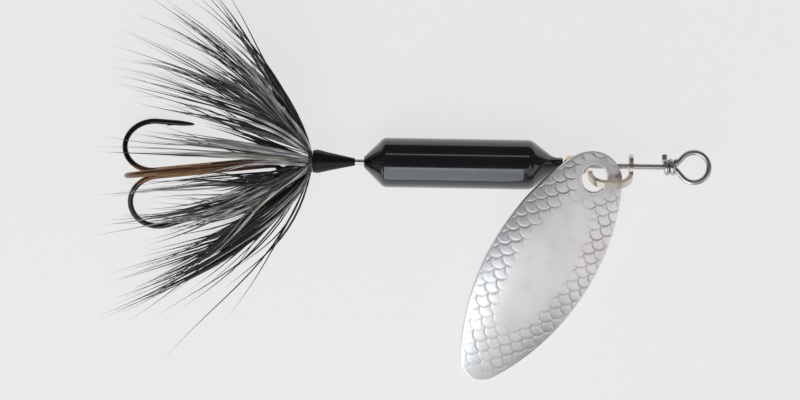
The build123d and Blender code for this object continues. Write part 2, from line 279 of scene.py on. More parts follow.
def buildLineGroup():
    # fine lines drawn out along one axis: noise on stretched coordinates gives their height
    group, given, out = makeGroup(
        "drawnLines",
        [
            ("Vector", "NodeSocketVector", None),
            ("Stretch", "NodeSocketVector", (1.0, 12.0, 12.0)),
            ("Density", "NodeSocketFloat", 2500.0),
        ],
        [("Height", "NodeSocketFloat")],
    )
    stretched = group.nodes.new("ShaderNodeVectorMath")
    stretched.operation = "MULTIPLY"
    group.links.new(given.outputs["Vector"], stretched.inputs[0])
    group.links.new(given.outputs["Stretch"], stretched.inputs[1])
    lines = noiseNode(group, stretched.outputs[0], given.outputs["Density"], 2.0, 0.5)
    group.links.new(lines, out.inputs["Height"])
    return group


def buildDustGroup():
    # sparse specks, more of them on faces that look up
    group, given, out = makeGroup(
        "dustSpecks",
        [
            ("Vector", "NodeSocketVector", None),
            ("Normal", "NodeSocketVector", None),
            ("Size", "NodeSocketFloat", 4000.0),
        ],
        [("Mask", "NodeSocketFloat")],
    )
    cells = group.nodes.new("ShaderNodeTexVoronoi")
    group.links.new(given.outputs["Vector"], cells.inputs["Vector"])
    group.links.new(given.outputs["Size"], cells.inputs["Scale"])
    parts = group.nodes.new("ShaderNodeSeparateXYZ")
    group.links.new(given.outputs["Normal"], parts.inputs[0])
    near = mathNode(group, "LESS_THAN", cells.outputs["Distance"], 0.11)
    chosen = mathNode(group, "GREATER_THAN", noiseNode(group, given.outputs["Vector"], 700.0), 0.55)
    upward = mathNode(group, "MAXIMUM", parts.outputs["Z"], 0.0)
    speck = mathNode(group, "MULTIPLY", mathNode(group, "MULTIPLY", near, chosen), upward)
    group.links.new(speck, out.inputs["Mask"])
    return group


filmGroup = buildFilmGroup()
lineGroup = buildLineGroup()
dustGroup = buildDustGroup()


def newMaterial(name, metallic=0.0, roughness=0.4, coat=0.0, coatRoughness=0.03):
    # a material with its Principled shader and object coordinates
    material = bpy.data.materials.new(name)
    material.use_nodes = True
    tree = material.node_tree
    shader = tree.nodes["Principled BSDF"]
    shader.inputs["Metallic"].default_value = metallic
    shader.inputs["Roughness"].default_value = roughness
    shader.inputs["Coat Weight"].default_value = coat
    shader.inputs["Coat Roughness"].default_value = coatRoughness
    place = tree.nodes.new("ShaderNodeTexCoord").outputs["Object"]
    return material, tree, shader, place


def useGroup(tree, group, place, **settings):
    # a group node fed with coordinates, its other inputs set by name
    node = tree.nodes.new("ShaderNodeGroup")
    node.node_tree = group
    tree.links.new(place, node.inputs["Vector"])
    for label, value in settings.items():
        node.inputs[label.replace("_", " ")].default_value = value
    return node


def addBump(tree, shader, height, strength, distance):
    # a height that tilts the surface a little
    bump = tree.nodes.new("ShaderNodeBump")
    bump.inputs["Strength"].default_value = strength
    bump.inputs["Distance"].default_value = distance
    tree.links.new(height, bump.inputs["Height"])
    tree.links.new(bump.outputs["Normal"], shader.inputs["Normal"])


def attributeValue(tree, label):
    # a number that the mesh carries at each point
    node = tree.nodes.new("ShaderNodeAttribute")
    node.attribute_name = label
    return node.outputs["Fac"]


def metalMaterial(
    name, clean, stained, polish, haze, stretch, patch=900.0, stain=0.4, lineBump=0.15, metallic=1.0
):
    # plated or drawn metal: tarnish film over fine drawn lines
    material, tree, shader, place = newMaterial(name, metallic=metallic)
    film = useGroup(
        tree, filmGroup, place, Clean=clean, Stained=stained,
        Patch_Size=patch, Stain_Amount=stain, Polish=polish, Haze=haze,
    )
    lines = useGroup(tree, lineGroup, place, Stretch=stretch)
    tree.links.new(film.outputs["Color"], shader.inputs["Base Color"])
    tree.links.new(film.outputs["Roughness"], shader.inputs["Roughness"])
    addBump(tree, shader, lines.outputs["Height"], lineBump, 2e-5)
    return material


def enamelMaterial():
    # deep black enamel: glassy coat with faint flow ripples and a few dust specks
    material, tree, shader, place = newMaterial("glossEnamel", roughness=0.3, coat=1.0, coatRoughness=0.02)
    shader.inputs["Specular IOR Level"].default_value = 0.4
    shader.inputs["Coat IOR"].default_value = 1.55
    film = useGroup(
        tree, filmGroup, place, Clean=(0.0035, 0.0034, 0.0042, 1), Stained=(0.011, 0.011, 0.014, 1),
        Patch_Size=420.0, Stain_Amount=0.6, Polish=0.12, Haze=0.12,
    )
    dust = useGroup(tree, dustGroup, place, Size=5200.0)
    normal = tree.nodes.new("ShaderNodeNewGeometry").outputs["Normal"]
    tree.links.new(normal, dust.inputs["Normal"])
    speck = mathNode(tree, "MULTIPLY", dust.outputs["Mask"], 0.35)
    colour = mixColour(tree, speck, film.outputs["Color"], (0.35, 0.34, 0.33, 1))
    tree.links.new(colour, shader.inputs["Base Color"])
    tree.links.new(film.outputs["Roughness"], shader.inputs["Roughness"])
    addBump(tree, shader, noiseNode(tree, place, 650.0, 1.0), 0.05, 2e-5)
    return material


def bladeMaterial():
    # bright plate that stays dark in the stamped lines and in a thin ring of painted shade round the hole's
    # rim, with a soft wiped grain along the blade
    material, tree, shader, place = newMaterial("brightPlate", metallic=0.86)
    film = useGroup(
        tree, filmGroup, place, Clean=(0.93, 0.915, 0.905, 1), Stained=(0.72, 0.66, 0.64, 1),
        Patch_Size=330.0, Stain_Amount=0.55, Polish=0.27, Haze=0.1,
    )
    lines = useGroup(tree, lineGroup, place, Stretch=(6.0, 1.4, 6.0), Density=1500.0)
    groove = attributeValue(tree, "groove")
    # darkens the stamped lines and paints shade in a thin ring round the hole
    dark = mathNode(tree, "MULTIPLY", groove, 0.66, clamp=True)
    colour = mixColour(tree, dark, film.outputs["Color"], (0.2, 0.185, 0.17, 1))
    tree.links.new(colour, shader.inputs["Base Color"])
    rough = mathNode(tree, "ADD", film.outputs["Roughness"], mathNode(tree, "MULTIPLY", groove, 0.25))
    tree.links.new(rough, shader.inputs["Roughness"])
    addBump(tree, shader, lines.outputs["Height"], 0.12, 3e-5)
    return material


def hookMaterial():
    # bronzed wire: near black on the bends, brown lacquer down the shank
    material, tree, shader, place = newMaterial("bronzedWire", metallic=0.85, coat=0.6, coatRoughness=0.12)
    brown = attributeValue(tree, "shank")
    cloud = mathNode(tree, "ADD", noiseNode(tree, place, 2600.0), 0.45)
    mottled = mathNode(tree, "MULTIPLY", brown, cloud, clamp=True)
    base = mixColour(tree, mottled, (0.009, 0.006, 0.007, 1), (0.2, 0.085, 0.03, 1))
    tree.links.new(base, shader.inputs["Base Color"])
    rough = mathNode(tree, "ADD", 0.2, mathNode(tree, "MULTIPLY", mottled, 0.25))
    tree.links.new(rough, shader.inputs["Roughness"])
    addBump(tree, shader, noiseNode(tree, place, 5200.0, 2.0), 0.15, 2e-5)
    return material


def threadMaterial():
    # tying thread under head cement: black, glossy on the crowns of the turns
    material, tree, shader, place = newMaterial("cementedThread", coat=0.35, coatRoughness=0.05)
    shader.inputs["Specular IOR Level"].default_value = 0.15
    shader.inputs["Coat IOR"].default_value = 1.4
    film = useGroup(
        tree, filmGroup, place, Clean=(0.004, 0.004, 0.0045, 1), Stained=(0.02, 0.018, 0.018, 1),
        Patch_Size=1500.0, Stain_Amount=0.6, Polish=0.42, Haze=0.2,
    )
    tree.links.new(film.outputs["Color"], shader.inputs["Base Color"])
    tree.links.new(film.outputs["Roughness"], shader.inputs["Roughness"])
    addBump(tree, shader, noiseNode(tree, place, 9000.0, 2.0), 0.12, 1e-5)
    return material


def fibreMaterial():
    # feather barbs: each has its own tone, with soft bars across the pale ones and a paler tip; the pale
    # barbs are partly grizzly barbs and partly painted sheen on black barbs
    material, tree, shader, place = newMaterial("featherBarb", roughness=0.42)
    shader.inputs["Specular IOR Level"].default_value = 0.3
    shader.inputs["Sheen Weight"].default_value = 0.06
    shader.inputs["Sheen Roughness"].default_value = 0.4
    tone = attributeValue(tree, "tone")
    along = attributeValue(tree, "along")
    tint = attributeValue(tree, "tint")
    wave = mathNode(tree, "SINE", mathNode(tree, "MULTIPLY", mathNode(tree, "ADD", along, tint), 26.0))
    bars = mathNode(tree, "MULTIPLY", mathNode(tree, "ADD", wave, 1.0), 0.5)
    barred = mathNode(tree, "ADD", mathNode(tree, "MULTIPLY", bars, 0.5), 0.5)
    pale = mathNode(tree, "MULTIPLY", tone, barred, clamp=True)
    hue = mixColour(tree, tint, (0.02, 0.012, 0.024, 1), (0.015, 0.014, 0.009, 1))
    # pale colour: partly the grizzly barbs' own colour, partly painted sheen standing in for highlights
    grizzlyAndSheenHue = mixColour(tree, tint, (0.93, 0.9, 0.91, 1), (0.94, 0.91, 0.78, 1))
    body = mixColour(tree, pale, hue, grizzlyAndSheenHue)
    fade = mathNode(tree, "MULTIPLY", mathNode(tree, "POWER", along, 3.0), 0.32)
    tipped = mixColour(tree, fade, body, (0.24, 0.21, 0.25, 1))
    tree.links.new(tipped, shader.inputs["Base Color"])
    rough = mathNode(tree, "ADD", 0.36, mathNode(tree, "MULTIPLY", bars, 0.15))
    tree.links.new(rough, shader.inputs["Roughness"])
    addBump(tree, shader, noiseNode(tree, place, 12000.0, 1.0), 0.2, 1e-5)
    return material


steelWire = metalMaterial(
    "drawnWire", (0.62, 0.58, 0.57, 1), (0.3, 0.25, 0.24, 1), 0.2, 0.12, (2.0, 16.0, 16.0),
    stain=0.5,
)
brassBead = metalMaterial(
    "turnedBrass", (0.78, 0.58, 0.33, 1), (0.35, 0.22, 0.11, 1), 0.2, 0.15, (14.0, 2.0, 2.0),
    stain=0.5,
)
clevisPlate = metalMaterial(
    "warmPlate", (0.74, 0.66, 0.56, 1), (0.36, 0.28, 0.2, 1), 0.22, 0.14, (4.0, 4.0, 12.0),
    patch=1400.0, stain=0.55,
)
brazeMetal = metalMaterial(
    "brazingMetal", (0.36, 0.19, 0.07, 1), (0.1, 0.05, 0.025, 1), 0.35, 0.2, (3.0, 6.0, 6.0),
    patch=1700.0, stain=0.7,
)
quillHorn = metalMaterial(
    "quillHorn", (0.15, 0.115, 0.08, 1), (0.04, 0.03, 0.022, 1), 0.4, 0.1, (2.0, 9.0, 9.0),
    metallic=0.0, lineBump=0.4,
)
enamel = enamelMaterial()
plate = bladeMaterial()
bronze = hookMaterial()
thread = threadMaterial()
barb = fibreMaterial()
print("materials made")


def dress(piece, body, slotName, material, *nodes):
    # give a piece its material and its body if it has just one, and hide the nodes that it stands for; the
    # slot name is not used
    piece.data.materials.clear()
    piece.data.materials.append(material)
    if body:
        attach(piece, body)
    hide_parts(*nodes)


stage = {"size": 900.0, "glow": 0.715, "height": 300.0, "lens": 150.0, "roll": 0.95, "centre": (-26.4, -3.36)}


def lookDown():
    # straight down on the lure, rolled a little so that the shaft falls to the right
    lens = bpy.data.cameras.new("camera")
    lens.lens = stage["lens"]
    lens.sensor_width = 36.0
    lens.clip_start = 0.01
    lens.clip_end = 10.0
    camera = bpy.data.objects.new("camera", lens)
    camera.location = Vector((*stage["centre"], stage["height"])) * mm
    camera.rotation_euler = (0, 0, np.radians(stage["roll"]))
    bpy.context.collection.objects.link(camera)
    bpy.context.scene.camera = camera


def softLight(name, place, target, width, height, power, colour=(1, 1, 1)):
    # a rectangular soft box at a place, aimed at a target, all in millimetres
    light = bpy.data.lights.new(name, "AREA")
    light.shape = "RECTANGLE"
    light.size, light.size_y = width * mm, height * mm
    light.energy = power
    light.color = colour
    lamp = bpy.data.objects.new(name, light)
    lamp.location = Vector(place) * mm
    lamp.rotation_euler = (Vector(target) - Vector(place)).to_track_quat("-Z", "Y").to_euler()
    bpy.context.collection.objects.link(lamp)


def lightTheStage():
    # power = pi * area * radiance, so each box has the brightness that its reflection needs
    def box(name, place, target, width, height, radiance, colour=(1, 1, 1)):
        softLight(name, place, target, width, height, np.pi * width * height * mm**2 * radiance, colour)

    box("frontBox", (-95, -205, 120), (-95, -60, -50), 180, 310, 2.15, (0.86, 0.93, 1.0))
    box("bladeBox", (92, -128, 203), (-14, -10, 0), 200, 220, 0.66, (1.0, 0.975, 0.965))
    box("sideBox", (270, -120, 90), (-14, -10, 0), 240, 150, 0.8, (1.0, 0.97, 0.96))
    box("tailBox", (-330, -170, 70), (-40, -3, 0), 220, 120, 1.5, (0.9, 0.95, 1.0))
    box("backStrip", (-21, 190, 240), (-21, -3, 0), 215, 26, 1.35)
    world = bpy.data.worlds.new("room")
    world.use_nodes = True
    world.node_tree.nodes["Background"].inputs["Color"].default_value = (0.9, 0.93, 1.0, 1)
    world.node_tree.nodes["Background"].inputs["Strength"].default_value = 0.1
    bpy.context.scene.world = world
    bpy.context.scene.view_settings.view_transform = "Standard"


def stageMaterial():
    # pale board that gives off a little light of its own, so that nothing throws a hard shadow on it
    material, tree, shader, place = newMaterial("paleBoard", roughness=0.9)
    tone = mixColour(tree, noiseNode(tree, place, 60.0, 3.0), (0.19, 0.19, 0.19, 1), (0.21, 0.21, 0.21, 1))
    tree.links.new(tone, shader.inputs["Base Color"])
    shader.inputs["Specular IOR Level"].default_value = 0.1
    shader.inputs["Emission Color"].default_value = (1, 1, 1, 1)
    shader.inputs["Emission Strength"].default_value = stage["glow"]
    return material


def layFloor():
    # one square face under the lure
    half = stage["size"] / 2
    low = floorHeight / mm
    points = [(-half, -half, low), (half, -half, low), (half, half, low), (-half, half, low)]
    floor = makePiece("floor", points, np.array([[0, 1, 2, 3]]), weld=False)
    floor.data.materials.append(stageMaterial())


lookDown()
lightTheStage()
layFloor()
print("stage set")

wire = {
    "radius": 0.25, "eyeRadius": 1.35, "neck": -1.6, "gap": 0.03, "frontTurns": 2.0, "rearTurns": 2.0,
    "tag": 0.6, "tagFoot": 0.1, "clear": 0.5, "loopRadius": 0.85, "loopBack": -36.8, "loopNeck": -34.75,
    "sides": 20, "step": 0.045,
}


def ringWithLegs(radius, neck, offset):
    # legs from (-neck, -/+offset) that touch a circle of the radius, and the circle between them
    turn = np.arctan2(offset, neck) + np.arccos(radius / np.hypot(neck, offset))
    angle = np.linspace(-(np.pi - turn), np.pi - turn, 90)
    circle = radius * np.stack([np.cos(angle), np.sin(angle)], axis=1)
    return np.concatenate([[[-neck, -offset]], circle, [[-neck, offset]]])


def coil(startX, heading, turns, startAngle):
    # a helix about the shaft: x runs on by one pitch a turn, y = r sin a, z = r cos a
    pitch = 2 * wire["radius"] + wire["gap"]
    a = np.linspace(0, 2 * np.pi * turns, int(60 * turns))
    x = startX + heading * pitch * a / (2 * np.pi)
    angle = startAngle - heading * a
    return np.stack([x, pitch * np.sin(angle), pitch * np.cos(angle)], axis=1)


def wirePath():
    # one wire from its cut end through the front wrap, eye, shaft and rear loop to the rear wrap
    front = coil(wire["neck"], -1, wire["frontTurns"], np.pi / 2)[::-1]
    foot = front[0]
    outward = unit(foot * [0, 1, 1])
    cutEnd = foot + outward * np.linspace(wire["tag"], wire["tagFoot"], 6)[:, None]
    eye = ringWithLegs(wire["eyeRadius"], -wire["neck"], wire["radius"])[::-1]
    eye = np.concatenate([eye, np.zeros((len(eye), 1))], axis=1)
    shaft = np.array([[wire["neck"] - wire["clear"], 0, 0], [wire["loopNeck"] + wire["clear"], 0, 0]])
    loopX = wire["loopBack"] + wire["loopRadius"]
    ring = ringWithLegs(wire["loopRadius"], wire["loopNeck"] - loopX, wire["radius"])
    loop = np.stack([loopX - ring[:, 0], 0 * ring[:, 0], ring[:, 1]], axis=1)
    rear = coil(wire["loopNeck"], 1, wire["rearTurns"], 0)
    return evenPath(np.concatenate([cutEnd, front, eye, shaft, loop, rear]), wire["step"])


wirePiece = makePiece("shaftWire", *tube(wirePath(), wire["radius"], wire["sides"]))
dress(wirePiece, "shaft", "wire_steel", steelWire, "shaft_wire")
print("wire made")

weight = {
    "tailRadius": 0.475, "tailCone": 1.75, "noseRadius": 0.7, "noseLength": 0.85, "taper": 2.0, "bore": 0.3,
    "edge": 0.04, "lip": 0.12, "tail": 0.75, "shoulder": 1.1, "hollow": 1.3, "longest": 0.45, "around": 144,
}


def weightOutline():
    # outline (x, r): tail face, cone, barrel, shoulder, hollow taper, neck, nose face and bore
    low, high = span("weight_body")
    rear, front, barrel = low[0], high[0], high[2]
    neck = front - weight["noseLength"]
    corners = [
        (rear, weight["bore"]),
        (rear, weight["tailRadius"]),
        (rear + weight["tailCone"], barrel),
        (neck - weight["taper"], barrel),
        (neck, weight["noseRadius"]),
        (front, weight["noseRadius"]),
        (front, weight["bore"]),
    ]
    roundings = ("edge", "lip", "tail", "shoulder", "hollow", "lip", "edge")
    return rounded(corners, [weight[place] for place in roundings])


bead = {"bore": 0.3, "rounding": 0.62, "edge": 0.05, "around": 72}


def beadOutline():
    # outline (x, r) of a barrel bead: bore, and two well rounded outer corners
    low, high = span("bearing_bead")
    corners = [(low[0], bead["bore"]), (low[0], high[2]), (high[0], high[2]), (high[0], bead["bore"])]
    return rounded(corners, [bead["edge"], bead["rounding"], bead["rounding"], bead["edge"]], steps=12)


weightPiece = makePiece("castWeight", *turned(divided(weightOutline(), weight["longest"]), weight["around"]))
dress(weightPiece, "weight", "gloss_black", enamel, "weight_body")
beadPiece = makePiece("brassBead", *turned(beadOutline(), bead["around"]))
dress(beadPiece, "bead", "bead_brass", brassBead, "bearing_bead")
print("weight and bead made")

head = {
    "frontRadius": 0.34, "waistRadius": 0.82, "waistX": -32.8, "rearRadius": 1.07, "bevel": (0.5, 0.04),
    "inner": 0.27, "wrapInner": 0.8, "wrapFront": -33.25, "longest": 0.03, "around": 160,
    "roundings": (0.03, 0.08, 1.5, 0.5, 0.12, 0.03, 0.03, 0.03),
    "skinX": (-34.3, -33.3, -30.5), "skinRadius": (0.94, 0.84, 0.24),     # the outside lies beyond this line
    "threadPitch": 0.115, "threadDepth": 0.022, "crossTurns": 5.3, "crossDepth": 0.14,
}


def headOutline():
    # outline (x, r): front edge, waist, rear bulge, and the step inside that leaves room for the wrap
    low, high = span("thread_head")
    corners = [
        (high[0], head["inner"]),
        (high[0], head["frontRadius"]),
        (head["waistX"], head["waistRadius"]),
        (low[0] + head["bevel"][0], head["rearRadius"]),
        (low[0], head["rearRadius"] - head["bevel"][1]),
        (low[0], head["wrapInner"]),
        (head["wrapFront"], head["wrapInner"]),
        (head["wrapFront"], head["inner"]),
    ]
    return divided(rounded(corners, head["roundings"]), head["longest"])


def threadTurns(x, angle):
    # dips between the turns: depth * (sin(pi x / pitch + a / 2)^2 - 1), and a few turns that cross them
    wave = np.sin(np.pi * x / head["threadPitch"] + angle / 2) ** 2
    crossing = np.sin(np.pi * x / (head["crossTurns"] * head["threadPitch"]) - angle * 1.5) ** 2
    return head["threadDepth"] * (wave - 1 + head["crossDepth"] * crossing)


def headPoints():
    # the outline turned round the shaft, with the thread's turns on its outside alone
    outline = headOutline()
    outside = np.interp(outline[:, 0], head["skinX"], head["skinRadius"]) < outline[:, 1]
    return turned(outline, head["around"], lambda x, a: outside * threadTurns(x, a))


headPiece = makePiece("threadHead", *headPoints())
dress(headPiece, "shaft", "black_thread", thread, "thread_head")

quill = {"inner": 0.8, "strand": 0.1, "turns": 2, "steps": 240, "sides": 10}


def quillPoints():
    # the stem as a helix just behind the thread: x runs along while y = r sin a, z = r cos a
    low, high = span("hackle_quill")
    lengths = np.linspace(low[0] + quill["strand"], high[0] - quill["strand"], quill["steps"])
    angle = np.linspace(0, 2 * np.pi * quill["turns"], quill["steps"])
    radius = (quill["inner"] + high[2]) / 2
    path = np.stack([lengths, radius * np.sin(angle), radius * np.cos(angle)], axis=1)
    return tube(path, quill["strand"], quill["sides"], reference=(1, 0, 0))


quillPiece = makePiece("quillStem", *quillPoints())
dress(quillPiece, "shaft", "quill_brown", quillHorn, "hackle_quill")
print("thread head made")

blade = {
    "length": 23.6, "width": 10.0, "belly": 11.4, "topRadius": 3.0, "tipRadius": 2.1, "wall": 0.42,
    "holeRadius": 1.2, "holeIn": 2.35, "riseLength": 1.0, "riseWidth": 0.8, "flare": 61.7,
    "edgeRound": 0.1, "rimSquare": 0.6, "lipRound": 0.07, "around": 480, "across": 176, "under": 12,
}
stamp = {
    "scaleWidth": 1.46, "grooveWidth": 0.06, "grooveDepth": 0.028, "pillow": 0.004, "shift": (0.3, 0.1),
    "panelAt": 9.0, "panelSize": (6.7, 2.6), "panelEdge": (0.92, 0.22), "holeBand": (1.75, 0.4),
    # the ring numbers place a thin dark ring of painted shade round the hole's rim
    "rimBand": 14, "rimShadeRadius": 1.55, "rimShadeWidth": 0.1, "rimShadeTone": 0.175,
}


def bladeHalf(reach, endRadius, heading):
    # from the belly to the end: a side arc, then an end arc that it meets smoothly, as (x, y) with y >= 0
    half, belly = blade["width"] / 2, blade["belly"] - blade["holeIn"]
    sideRadius = (half**2 + reach**2 - 2 * endRadius * reach) / (2 * (half - endRadius))
    turn = np.arctan2(sideRadius - half, reach - endRadius)
    side = np.linspace(np.pi / 2, turn, 300)
    end = np.linspace(turn, 0, 300)[1:]
    x = np.concatenate([sideRadius * np.cos(side), reach - endRadius + endRadius * np.cos(end)])
    y = np.concatenate([half - sideRadius + sideRadius * np.sin(side), endRadius * np.sin(end)])
    return np.stack([belly + heading * x, y], axis=1)


def bladeOutline(count):
    # both halves and their mirror images, in the blade's own x (towards the tip) and y, evenly spaced
    tip = bladeHalf(blade["length"] - blade["belly"], blade["tipRadius"], 1)
    top = bladeHalf(blade["belly"], blade["topRadius"], -1)
    upper = np.concatenate([tip[::-1], top])
    line = np.concatenate([upper, upper[::-1] * [1, -1]])
    run = np.concatenate([[0], np.cumsum(np.linalg.norm(np.diff(line, axis=0), axis=1))])
    places = np.linspace(0, run[-1], count, endpoint=False)
    return np.stack([np.interp(places, run, line[:, k]) for k in (0, 1)], axis=1)


def domeHeight(x, y, inset):
    # height of a shell curved by widthRadius across and lengthRadius along; its underside is inset below
    halfLength, halfWidth = blade["length"] / 2, blade["width"] / 2
    lengthRadius = (halfLength**2 + blade["riseLength"]**2) / (2 * blade["riseLength"])
    widthRadius = (halfWidth**2 + blade["riseWidth"]**2) / (2 * blade["riseWidth"])
    middle = halfLength - blade["holeIn"]
    crown = middle**2 / (2 * lengthRadius) + blade["wall"] / 2
    ring = lengthRadius - widthRadius + np.sqrt((widthRadius - inset) ** 2 - y**2)
    return crown - lengthRadius + np.sqrt(ring**2 - (x - middle) ** 2)


def scallops(x, y):
    # rows of half circles of radius R, one R apart and shifted by R in turn: distance to the nearest arc,
    # a pillow that is 1 at a scale's centre, and a number from 0 to 1 for each scale
    radius = stamp["scaleWidth"] / 2
    row = np.floor(x / radius)
    shift = np.where(row % 2 == 0, 0.0, radius)
    inRow = x - row * radius
    column = np.round((y - shift) / (2 * radius))
    sideways = y - shift - column * 2 * radius
    reach = np.hypot(inRow, sideways)
    otherShift = radius - shift
    otherSideways = y - otherShift - np.round((y - otherShift) / (2 * radius)) * 2 * radius
    otherReach = np.hypot(inRow + radius, otherSideways)
    distance = np.minimum(np.abs(reach - radius), np.abs(otherReach - radius))
    pillow = np.clip(1 - (reach / radius) ** 2, 0, 1)
    jitter = 0.5 + 0.5 * np.sin(row * 12.9898 + column * 78.233)
    return distance, pillow, jitter


def stampedRelief(x, y, edgeShare):
    # scallops round the rim, fading to a smooth panel in the middle; a plain band at hole and edge, and a
    # thin dark ring of painted shade round the hole's rim
    distance, pillow, jitter = scallops(x + stamp["shift"][0], y + stamp["shift"][1])
    panel = np.hypot((x - stamp["panelAt"]) / stamp["panelSize"][0], y / stamp["panelSize"][1])
    fromHole = np.hypot(x, y)
    fade = np.clip((panel - stamp["panelEdge"][0]) / stamp["panelEdge"][1], 0, 1)
    fade = fade * np.clip((fromHole - stamp["holeBand"][0]) / stamp["holeBand"][1], 0, 1)
    fade = fade * np.clip((1 - edgeShare) * stamp["rimBand"], 0, 1)
    groove = np.exp(-((distance / stamp["grooveWidth"]) ** 2)) * fade * (0.4 + 0.6 * jitter)
    # a thin dark ring round the hole: painted shade of its rim, added to the groove value
    rimShadeRing = stamp["rimShadeTone"] * np.exp(-(((fromHole - stamp["rimShadeRadius"]) / stamp["rimShadeWidth"]) ** 2))
    return fade * pillow * stamp["pillow"] - stamp["grooveDepth"] * groove, groove + rimShadeRing


def bladePoints():
    # rings from the hole's edge over the top, round the rim, back underneath and up the hole's lip
    outline = bladeOutline(blade["around"])
    angle = np.arctan2(outline[:, 1], outline[:, 0])
    hole = blade["holeRadius"] * np.stack([np.cos(angle), np.sin(angle)], axis=1)
    inward = unit(outline - hole)
    start, finish = hole + inward * blade["lipRound"], outline - inward * blade["edgeRound"]
    top = start + (finish - start) * np.linspace(0, 1, blade["across"])[:, None, None]
    edgeShare = np.linalg.norm(top, axis=2) / np.linalg.norm(outline, axis=1)
    relief, groove = stampedRelief(top[..., 0], top[..., 1], edgeShare)
    topZ = domeHeight(top[..., 0], top[..., 1], 0) + relief
    low = start + (finish - start) * np.linspace(1, 0, blade["under"])[:, None, None]
    lowZ = domeHeight(low[..., 0], low[..., 1], blade["wall"])
    bend = np.linspace(0, np.pi, 9)[1:-1, None]
    rim = finish + inward * (blade["edgeRound"] * np.sin(bend))[..., None]
    squared = np.sign(np.cos(bend)) * np.abs(np.cos(bend)) ** blade["rimSquare"]
    rimZ = (topZ[-1] + lowZ[0]) / 2 + (topZ[-1] - lowZ[0]) / 2 * squared
    lipBend = np.linspace(np.pi, 0, 7)[1:-1, None]
    lip = start - inward * (blade["lipRound"] * np.sin(lipBend))[..., None]
    lipZ = (topZ[0] + lowZ[-1]) / 2 + (topZ[0] - lowZ[-1]) / 2 * np.cos(lipBend)
    flat = np.concatenate([top, rim, low, lip])
    height = np.concatenate([topZ, rimZ, lowZ, lipZ])
    local = np.concatenate([flat, height[..., None]], axis=2)
    # the groove value, with the painted shade ring round the hole, is zero on the rim, underside and lip
    groovesAndRimShade = np.concatenate([groove, np.zeros((len(local) - len(groove), blade["around"]))])
    return local, groovesAndRimShade


def bladeFrame():
    # the blade's own x, y and z axes as rows, and the hole's centre
    joint = joints["blade_swing"]
    normal = unit(np.array(joint["axis"], dtype=float))
    flare = np.radians(180 + blade["flare"])
    heading = np.array([np.cos(flare), np.sin(flare), 0])
    xAxis = unit(heading - normal * (heading @ normal))
    return np.stack([xAxis, np.cross(normal, xAxis), normal]), np.array(joint["pos_m"]) / mm


def makeBlade():
    # the blade's own coordinates carried to its place on the clevis
    local, groovesAndRimShade = bladePoints()
    axes, centre = bladeFrame()
    points = local @ axes + centre
    quads = gridQuads(local.shape[0], local.shape[1], closeRows=True, closeColumns=True)
    return makePiece("bladePlate", points, quads, values={"groove": groovesAndRimShade})


bladePiece = makeBlade()
dress(bladePiece, "blade", "blade_nickel", plate, "blade")
print("blade made")

hook = {
    "radius": 0.25, "gape": 5.5, "back": 14.2, "offset": 0.31, "eye": 0.75, "eyeGap": 0.42, "play": 0.1,
    "shankStart": 0.9, "thirdStart": 1.9, "lean": 12.0, "arm": 1.9, "point": 1.5, "tipRadius": 0.012,
    "yaw": 6.5, "doubleRolls": (120, -120),
    "barbFoot": 0.55, "barbLength": 0.95, "barbHeight": 0.24, "barbWidth": 0.12, "barbSeat": (0.16, 0.05),
    "barbBehind": 0.1, "brownFade": 0.5, "brownFrom": 1.2, "brownRise": 1.5,
    "brown": {"doubleHook": 1.15, "thirdHook": 6.2}, "sides": 18, "step": 0.09,
}


def hookPivot():
    # the back of the rear loop, in millimetres
    return np.array(joints["hook_swing"]["pos_m"]) / mm


def hookAxes():
    # shank direction, sideways and the third hook's direction, pitched so that the lower bends lie flat,
    # and how far back the bends' centres are
    bendX = hook["back"] - (hook["gape"] - hook["offset"]) / 2
    reach = hook["gape"] * np.cos(np.radians(60)) + hook["radius"]
    pitch = np.arcsin((reach + floorHeight / mm) / bendX)
    yaw = np.radians(hook["yaw"])
    along = np.array([-np.cos(yaw) * np.cos(pitch), -np.sin(yaw) * np.cos(pitch), np.sin(pitch)])
    up = unit(np.array([0, 0, 1]) - along * along[2])
    return along, np.cross(up, along), up, bendX


def bendPath(roll, startX):
    # shank, round bend, arm that leans in, and point, as (along, outward) carried to the roll angle
    along, side, up, bendX = hookAxes()
    radius = (hook["gape"] - hook["offset"]) / 2
    lean = np.radians(hook["lean"])
    angle = np.linspace(-np.pi / 2, np.pi / 2 + lean, 70)
    arc = np.stack([bendX + radius * np.cos(angle), hook["offset"] + radius + radius * np.sin(angle)], axis=1)
    run = hook["arm"] + hook["point"]
    end = arc[-1] - run * np.array([np.cos(lean), np.sin(lean)])
    flat = np.concatenate([[[startX, hook["offset"]]], arc, [end]])
    turn = np.radians(roll)
    outward = np.cos(turn) * up + np.sin(turn) * side
    return hookPivot() + flat[:, :1] * along + flat[:, 1:] * outward, outward, along


def pointRadius(path):
    # full thickness, easing down to a needle over the last stretch
    run = np.concatenate([[0], np.cumsum(np.linalg.norm(np.diff(path, axis=0), axis=1))])
    share = np.clip((run[-1] - run) / hook["point"], 0, 1)
    full = np.sqrt(share * (2 - share) * 0.5 + 0.5 * share)
    return hook["tipRadius"] + (hook["radius"] - hook["tipRadius"]) * full


